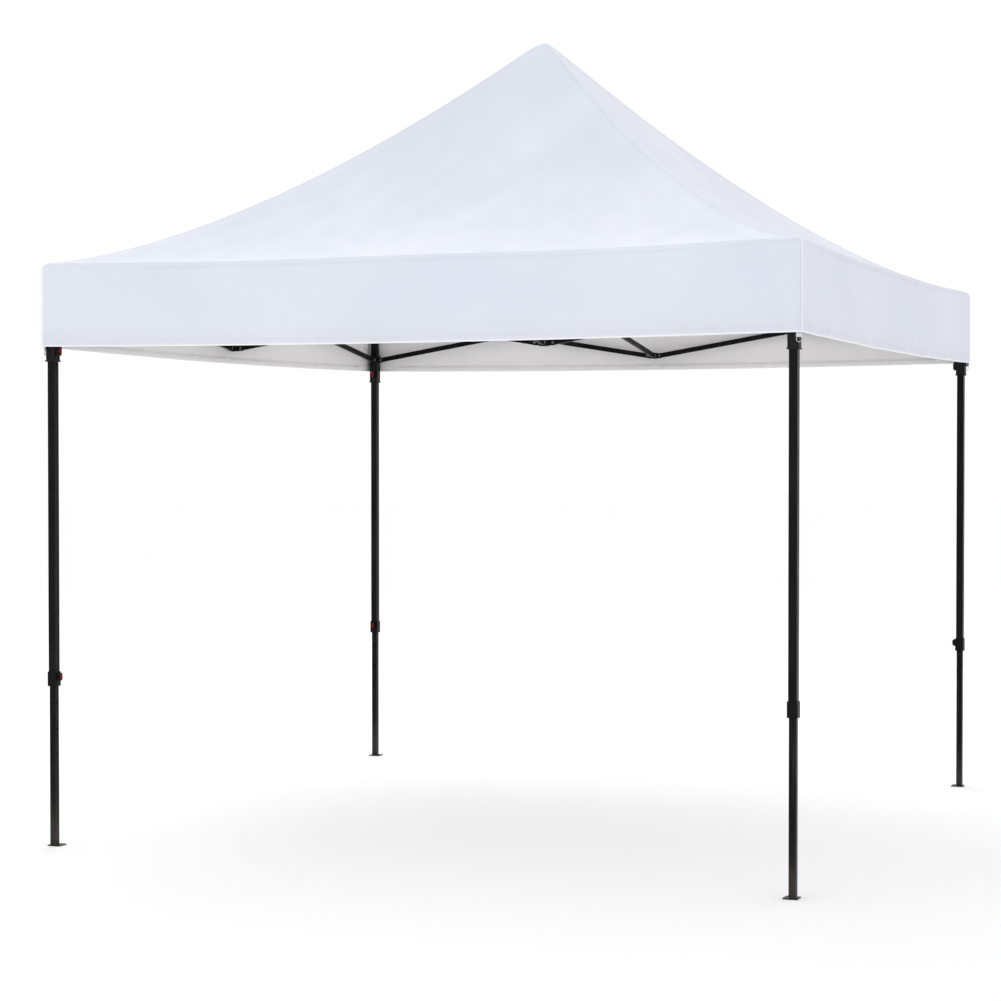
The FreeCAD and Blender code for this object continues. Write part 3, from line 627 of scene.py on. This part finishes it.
def roof_half(side, half):
    word = "right" if half > 0 else "left"

    def rows_of(column):
        return spread(PATCH_SHARE, roof_stop(column), ROOF_ROWS)

    piece = sew(f"{SIDES[side]}_roof_{word}", [cloth_grid(side, half, ROOF_COLUMNS, rows_of)])
    up_slope = (0.0, math.cos(ROOF_SLOPE), math.sin(ROOF_SLOPE))
    c, s = math.cos(ROOF_TILT), math.sin(ROOF_TILT)
    axis = (-half * s, c * up_slope[1], c * up_slope[2])
    anchor = (half * (HALF - CORNER), -HALF - STRIP_OFFSET[half], EAVE)
    gather(piece, side, half, axis, anchor)
    return piece


def valance_half(side, half):
    word = "right" if half > 0 else "left"
    grid = cloth_grid(side, half, MAIN_COLUMNS, lambda column: VALANCE_ROWS)
    piece = sew(f"{SIDES[side]}_valance_{word}", [grid])
    axis = (-half * math.sin(UPRIGHT_TILT), 0.0, math.cos(UPRIGHT_TILT))
    anchor = (half * (HALF - CORNER), -HALF, EAVE)
    gather(piece, side, half, axis, anchor)
    return piece


def corner_piece(number):
    """The corner of the cover over a leg, with the right end of one side and the left end of the next."""
    def rows_of(column):
        return spread(roof_stop(column), 1, CORNER_ROWS)[:-1] + VALANCE_ROWS

    grids = [
        cloth_grid(number, 1, CORNER_COLUMNS, rows_of),
        cloth_grid((number + 1) % 4, -1, CORNER_COLUMNS, rows_of),
    ]
    piece = sew(f"{CORNERS[number]}_cover_corner", grids)
    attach(piece, f"{CORNERS[number]}_leg")
    return piece


def peak_piece():
    """The part of the roof that stays with the upper hub."""
    def rows_of(column):
        return spread(0, PATCH_SHARE, PEAK_ROWS)

    parts = [(side, half) for side in range(4) for half in (1, -1)]
    grids = [cloth_grid(side, half, ROOF_COLUMNS, rows_of) for side, half in parts]
    piece = sew("cover_peak", grids)
    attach(piece, "root")
    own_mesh(piece)
    return piece


# ---- straps, rings and rivet heads ----------------------------------------------------------

def ring_of_wire(path, radius, sides=10):
    """Points and faces of a round wire along a flat closed path."""
    path = np.asarray(path, float)
    count = len(path)
    ahead = np.roll(path, -1, axis=0) - np.roll(path, 1, axis=0)
    ahead /= np.linalg.norm(ahead, axis=1, keepdims=True)
    centre = path.mean(axis=0)
    out = path - centre
    out -= (out * ahead).sum(1, keepdims=True) * ahead
    out /= np.linalg.norm(out, axis=1, keepdims=True)
    up = np.cross(ahead, out)
    turns = np.linspace(0, 2 * math.pi, sides, endpoint=False)[:, None]
    rings = path[:, None] + radius * (np.cos(turns) * out[:, None] + np.sin(turns) * up[:, None])
    faces = []
    for i in range(count):
        j = (i + 1) % count
        for k in range(sides):
            m = (k + 1) % sides
            faces.append((i * sides + k, i * sides + m, j * sides + m, j * sides + k))
    return rings.reshape(-1, 3), faces


STRAP_WIDTH = 0.024
STRAP_THICK = 0.0014
STRAP_DROP = 0.018  # how far the loop hangs below the hem
STRAP_INSET = 0.0075  # of the corner seam from the corner of the cover's box
STRAP_BACK = 0.006  # the strap's outer leg lies this far inside the seam
STRAP_EASE = 0.0008
STRAP_GAP = 0.0036
STRAP_TURN = 0.0022  # radius of the loop's turn
STRAP_TURN_STEPS = 8
STRAP_COLUMNS = 5
STRAP_ROUNDED = np.array([0.35, 1.0, 1.0, 1.0, 0.35])  # thickness across it, thinner at the edges
RING_RADIUS = 0.0105
RING_WIRE = 0.0014
RING_STEPS = 28


def strap_profile():
    """The strap seen from its edge: distance outward and height, from the outer leg round the loop."""
    bottom = HEM - STRAP_DROP
    profile = [(0.0, HEM + 0.050), (0.0, HEM + 0.030)]
    profile += [(STRAP_EASE, HEM + 0.010), (STRAP_EASE, bottom + 2 * STRAP_TURN)]
    for step in range(1, STRAP_TURN_STEPS):
        angle = math.pi * step / STRAP_TURN_STEPS
        outward = STRAP_EASE - STRAP_TURN * (1 - math.cos(angle))
        profile.append((outward, bottom + STRAP_TURN * (2 - math.sin(angle))))
    profile += [(-STRAP_GAP, HEM + 0.004), (-STRAP_GAP, HEM + 0.030)]
    return np.array(profile)


def strap_faces(rows):
    """Outer, inner and edge faces of a strip with two layers of rows by STRAP_COLUMNS points."""
    layer_size = rows * STRAP_COLUMNS
    grid = np.arange(layer_size).reshape(rows, STRAP_COLUMNS)
    faces = []
    for layer in range(2):
        for i in range(rows - 1):
            for j in range(STRAP_COLUMNS - 1):
                quad = [grid[i, j], grid[i + 1, j], grid[i + 1, j + 1], grid[i, j + 1]]
                faces.append([q + layer * layer_size for q in (quad if layer else quad[::-1])])
    down, up = list(grid[:, 0]), list(grid[::-1, -1][1:])
    loop = down + list(grid[-1, 1:]) + up + list(grid[0, ::-1][1:-1])
    for place in range(len(loop)):
        a, b = loop[place - 1], loop[place]
        faces.append([b, a, a + layer_size, b + layer_size])
    return faces


def corner_strap(number):
    """A loop of webbing under the corner of the valance, with the ring for a guy line."""
    outward = np.array((1.0, -1.0, 0.0)) / math.sqrt(2)
    across = np.array((1.0, 1.0, 0.0)) / math.sqrt(2)
    upward = np.array((0.0, 0.0, 1.0))
    seam = (HALF - STRAP_INSET) * np.array((1.0, -1.0, 0.0)) - STRAP_BACK * outward
    profile = strap_profile()
    along = np.gradient(profile, axis=0)
    along /= np.linalg.norm(along, axis=1, keepdims=True)
    side_way = np.stack([along[:, 1], -along[:, 0]], axis=1)[:, None, :]
    columns = np.linspace(-0.5, 0.5, STRAP_COLUMNS) * STRAP_WIDTH
    layers = []
    for sign in (1, -1):
        offset = sign * 0.5 * STRAP_THICK * STRAP_ROUNDED[None, :, None] * side_way
        line = profile[:, None, :] + offset
        place = seam + line[..., :1] * outward + columns[None, :, None] * across + line[..., 1:] * upward
        layers.append(place)
    points = np.concatenate([layer.reshape(-1, 3) for layer in layers])
    faces = strap_faces(len(profile))
    run = np.concatenate([[0], np.cumsum(np.linalg.norm(np.diff(profile, axis=0), axis=1))])
    flat = np.stack(np.meshgrid(columns, run), axis=-1).reshape(-1, 2)
    flat = np.concatenate([flat, flat])
    uv = np.concatenate([flat[[int(i) for i in face]] for face in faces])
    strap = make_object(f"{CORNERS[number]}_strap", turned(points, number), faces, WEBBING, {"cloth": uv})
    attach(strap, f"{CORNERS[number]}_leg")

    ring_height = HEM - STRAP_DROP - RING_RADIUS + 2 * STRAP_TURN + 0.0012
    centre = seam - 0.0014 * outward + ring_height * upward
    angles = np.linspace(0, 2 * math.pi, RING_STEPS, endpoint=False)
    circle = [centre + RING_RADIUS * (math.cos(a) * across + math.sin(a) * upward) for a in angles]
    ring_points, ring_faces = ring_of_wire(circle, RING_WIRE)
    ring = make_object(f"{CORNERS[number]}_ring", turned(ring_points, number), ring_faces, ZINC)
    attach(ring, f"{CORNERS[number]}_leg")
    return strap, ring


def loose_parts(mesh):
    """The points of each separate solid of a CAD node."""
    points = np.zeros(len(mesh.vertices) * 3)
    mesh.vertices.foreach_get("co", points)
    points = points.reshape(-1, 3)
    _, same = np.unique(np.round(points, 6), axis=0, return_inverse=True)
    same = same.ravel()
    mesh.calc_loop_triangles()
    triangles = np.zeros(len(mesh.loop_triangles) * 3, int)
    mesh.loop_triangles.foreach_get("vertices", triangles)
    triangles = same[triangles].reshape(-1, 3)
    label = np.arange(same.max() + 1)
    while True:
        lowest = label[triangles].min(axis=1)
        new = label.copy()
        for column in range(3):
            np.minimum.at(new, triangles[:, column], lowest)
        if (new == label).all():
            break
        label = new
    found = label[same]
    return [points[found == value] for value in np.unique(found)]


RIVET_RADIUS = 0.0060
RIVET_DOME = 0.0034
RIVET_PROUD = 0.0004  # how far a head stands past the end of its bolt
RIVET_STEPS = 16
RIVET_RINGS = ((1.0, 0.0), (1.0, 0.25), (0.93, 0.55), (0.72, 0.82), (0.42, 0.98), (0.18, 1.06))
BOLT_LENGTHS = (0.018, 0.040)
BOLT_WIDTH = 0.0125  # no bolt is wider than this


def bolt_axis(size):
    """The long axis of a solid that has a bolt's size, or None."""
    axis = int(np.argmax(size))
    width = max(size[(axis + 1) % 3], size[(axis + 2) % 3])
    is_bolt = BOLT_LENGTHS[0] < size[axis] < BOLT_LENGTHS[1] and width < BOLT_WIDTH
    return axis if is_bolt else None


def rivet_head(base, axis, sign):
    """Points and faces of one domed head that looks along sign of the axis."""
    points, faces = [], []
    for radius, height in RIVET_RINGS:
        for step in range(RIVET_STEPS):
            angle = 2 * math.pi * step / RIVET_STEPS
            point = base.copy()
            point[axis] += sign * height * (RIVET_DOME + RIVET_PROUD)
            point[(axis + 1) % 3] += RIVET_RADIUS * radius * math.cos(angle)
            point[(axis + 2) % 3] += RIVET_RADIUS * radius * math.sin(angle)
            points.append(point)
    for ring in range(len(RIVET_RINGS) - 1):
        for step in range(RIVET_STEPS):
            a = ring * RIVET_STEPS + step
            b = ring * RIVET_STEPS + (step + 1) % RIVET_STEPS
            faces.append((a, b, b + RIVET_STEPS, a + RIVET_STEPS)[::sign])
    last = (len(RIVET_RINGS) - 1) * RIVET_STEPS
    faces.append(tuple(range(last, last + RIVET_STEPS))[::sign])
    faces.append(tuple(range(RIVET_STEPS))[::-sign])
    return points, faces


def rivet_heads(node):
    """A domed zinc head over each end of every pivot bolt of a CAD node."""
    points, faces = [], []
    for part in loose_parts(node.data):
        size = part.max(0) - part.min(0)
        axis = bolt_axis(size)
        if axis is None:
            continue
        for sign in (1, -1):
            base = (part.max(0) + part.min(0)) / 2
            base[axis] += sign * (size[axis] / 2 - RIVET_DOME)
            head_points, head_faces = rivet_head(base, axis, sign)
            faces += [tuple(i + len(points) for i in face) for face in head_faces]
            points += head_points
    if points:
        heads = make_object(f"{node.name}_rivet_heads", points, faces, DARK_ZINC)
        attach(heads, node["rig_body"])


# ---- studio and camera ----------------------------------------------------------------------

FLOOR_HALF = 60.0
WORLD_STRENGTH = 1.03
LAMPS = (  # name, place, side of its square and power
    ("back_light", (-3.5, 6.0, 9.0), 5.0, 210.0),
    ("front_light", (0.3, -5.2, 3.0), 2.5, 17.0),
)
LAMP_AIM = Vector((0, 0, 1.8))


def studio():
    floor_points = [(x * FLOOR_HALF, y * FLOOR_HALF, 0) for x, y in ((-1, -1), (1, -1), (1, 1), (-1, 1))]
    floor = make_object("studio_floor", floor_points, [(0, 1, 2, 3)], floor_material())
    world = bpy.data.worlds.new("studio")
    world.use_nodes = True
    background = world.node_tree.nodes["Background"]
    background.inputs["Color"].default_value = (1.0, 1.0, 1.0, 1)
    background.inputs["Strength"].default_value = WORLD_STRENGTH
    bpy.context.scene.world = world
    for name, place, size, power in LAMPS:
        lamp = bpy.data.lights.new(name, "AREA")
        lamp.shape = "SQUARE"
        lamp.size = size
        lamp.energy = power
        thing = bpy.data.objects.new(name, lamp)
        thing.location = place
        thing.rotation_euler = (LAMP_AIM - Vector(place)).to_track_quat("-Z", "Y").to_euler()
        bpy.context.scene.collection.objects.link(thing)
    bpy.context.scene.view_settings.view_transform = "Standard"


CAMERA_PLACE = (3.529, -9.250, 1.519)
CAMERA_YAW = 0.383  # from +Y towards -X
CAMERA_PITCH = -0.0204
CAMERA_LENS = 84.8


def camera():
    lens = bpy.data.cameras.new("camera")
    lens.lens = CAMERA_LENS
    lens.clip_end = 200
    eye = bpy.data.objects.new("camera", lens)
    eye.location = CAMERA_PLACE
    level = math.cos(CAMERA_PITCH)
    forward = (-math.sin(CAMERA_YAW) * level, math.cos(CAMERA_YAW) * level, math.sin(CAMERA_PITCH))
    eye.rotation_euler = Vector(forward).to_track_quat("-Z", "Y").to_euler()
    bpy.context.scene.collection.objects.link(eye)
    bpy.context.scene.camera = eye


# ---- the whole scene ------------------------------------------------------------------------

camera()
studio()

for node in frame["nodes"].values():
    used = [m.name.split(".")[0] for m in node.data.materials if m]
    finish = next((SLOT_MATERIALS[name] for name in used if name in SLOT_MATERIALS), BLACK_PLASTIC)
    node.data.materials.clear()
    node.data.materials.append(finish)

for node_name, node in sorted(frame["nodes"].items()):
    if any(word in node_name for word in ("bar_", "hub", "middle", "slider", "top_bracket")):
        rivet_heads(node)

cover_pieces = [peak_piece()]
for side_number in range(4):
    for half_sign in (1, -1):
        cover_pieces.append(roof_half(side_number, half_sign))
        cover_pieces.append(valance_half(side_number, half_sign))
for corner_number in range(4):
    corner = corner_piece(corner_number)
    strap_and_ring = corner_strap(corner_number)
    cover_pieces.append(corner)
for piece in cover_pieces:
    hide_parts("canopy_cover")
